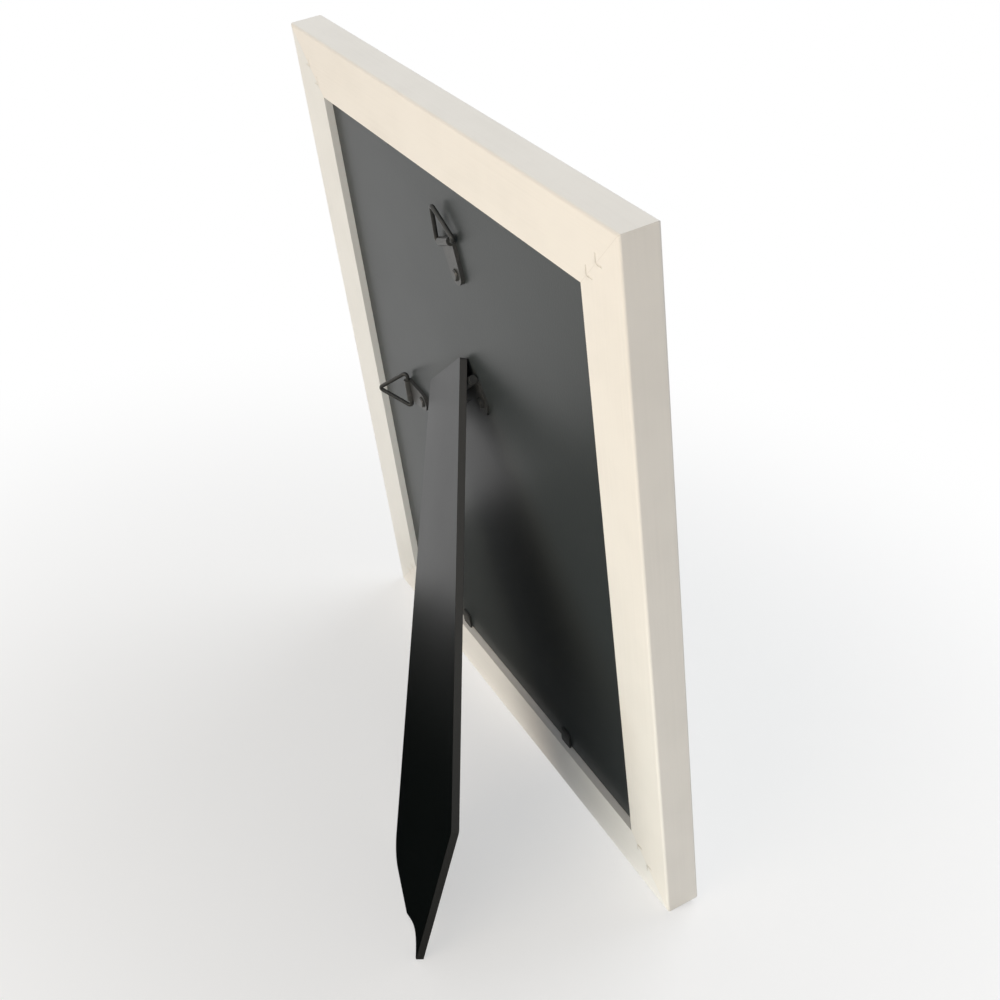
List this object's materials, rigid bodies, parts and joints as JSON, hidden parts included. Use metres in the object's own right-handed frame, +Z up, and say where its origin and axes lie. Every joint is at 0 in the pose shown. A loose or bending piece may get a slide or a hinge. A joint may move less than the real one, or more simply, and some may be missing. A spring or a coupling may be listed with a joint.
{
  "type": "picture frame",
  "caption": "Mitred picture frame for a handprint keepsake, glazed and matted, with hanger rings and a folding two-way strut on its black backboard.",
  "frame": {"origin": "on the floor the frame stands on, under the middle of its overall box", "axes": "+Z up, +Y out of the frame's back towards the strut, so the picture faces -Y"},
  "size_m": [0.26, 0.1166, 0.2967],
  "materials": {
    "painted_wood": "satin cream-white paint",
    "black_board": "satin black hardboard",
    "glass": "clear",
    "mat_card": "matt cream card",
    "paper": "matt white paper",
    "grey_card": "matt grey card",
    "black_steel": "satin blackened steel",
    "bright_steel": "dull bare steel"
  },
  "bodies": {
    "frame": {"top_rail": "painted_wood", "bottom_rail": "painted_wood", "left_rail": "painted_wood", "right_rail": "painted_wood", "corner_v_nails": "bright_steel", "glazing": "glass", "mat_board": "mat_card", "print_sheet": "paper", "filler_card": "grey_card", "backboard": "black_board", "tab_blades": "black_steel", "top_hanger_rivet": "black_steel", "side_hanger_rivet": "black_steel", "hinge_board_leaf": "black_steel", "hinge_pin": "black_steel", "hinge_board_rivets": "black_steel"},
    "strut": {"strut": "black_board", "hinge_strut_leaf": "black_steel", "hinge_strut_rivets": "black_steel"},
    "top_strap": {"top_hanger_strap": "black_steel"},
    "side_strap": {"side_hanger_strap": "black_steel"},
    "top_ring": {"top_hanger_ring": "black_steel"},
    "side_ring": {"side_hanger_ring": "black_steel"},
    "bottom_right_tab": {"bottom_right_tab": "black_steel"},
    "bottom_left_tab": {"bottom_left_tab": "black_steel"},
    "top_left_tab": {"top_left_tab": "black_steel"},
    "top_right_tab": {"top_right_tab": "black_steel"}
  },
  "joints": [
    {"name": "strut_hinge", "type": "hinge", "parent": "frame", "child": "strut", "pos_m": [0.0123, -0.01068, 0.17359], "axis": [0.7887, -0.1194, -0.6031], "range_deg": [-25.72, 0]},
    {"name": "top_strap_turn", "type": "hinge", "parent": "frame", "child": "top_strap", "pos_m": [-0.0046, -0.00043, 0.23232], "axis": [0, 0.981, -0.1942], "range_deg": [-110.5, 69.5]},
    {"name": "side_strap_turn", "type": "hinge", "parent": "frame", "child": "side_strap", "pos_m": [0.0554, -0.01725, 0.14737], "axis": [0, 0.981, -0.1942], "range_deg": [-90, 90]},
    {"name": "top_ring_swing", "type": "hinge", "parent": "top_strap", "child": "top_ring", "pos_m": [-0.00005, 0.0029, 0.24407], "axis": [-0.9367, 0.068, 0.3435], "range_deg": [-6, 144]},
    {"name": "side_ring_swing", "type": "hinge", "parent": "side_strap", "child": "side_ring", "pos_m": [0.0684, -0.01629, 0.14718], "axis": [0, 0.1942, 0.981], "range_deg": [-45, 105]},
    {"name": "bottom_right_tab_bend", "type": "hinge", "parent": "frame", "child": "bottom_right_tab", "pos_m": [0.048, -0.0416, 0.02542], "axis": [-1, 0, 0], "range_deg": [0, 90]},
    {"name": "bottom_left_tab_bend", "type": "hinge", "parent": "frame", "child": "bottom_left_tab", "pos_m": [-0.048, -0.0416, 0.02542], "axis": [-1, 0, 0], "range_deg": [0, 90]},
    {"name": "top_left_tab_bend", "type": "hinge", "parent": "frame", "child": "top_left_tab", "pos_m": [-0.048, 0.00671, 0.26939], "axis": [1, 0, 0], "range_deg": [0, 90]},
    {"name": "top_right_tab_bend", "type": "hinge", "parent": "frame", "child": "top_right_tab", "pos_m": [0.048, 0.00671, 0.26939], "axis": [1, 0, 0], "range_deg": [0, 90]}
  ]
}
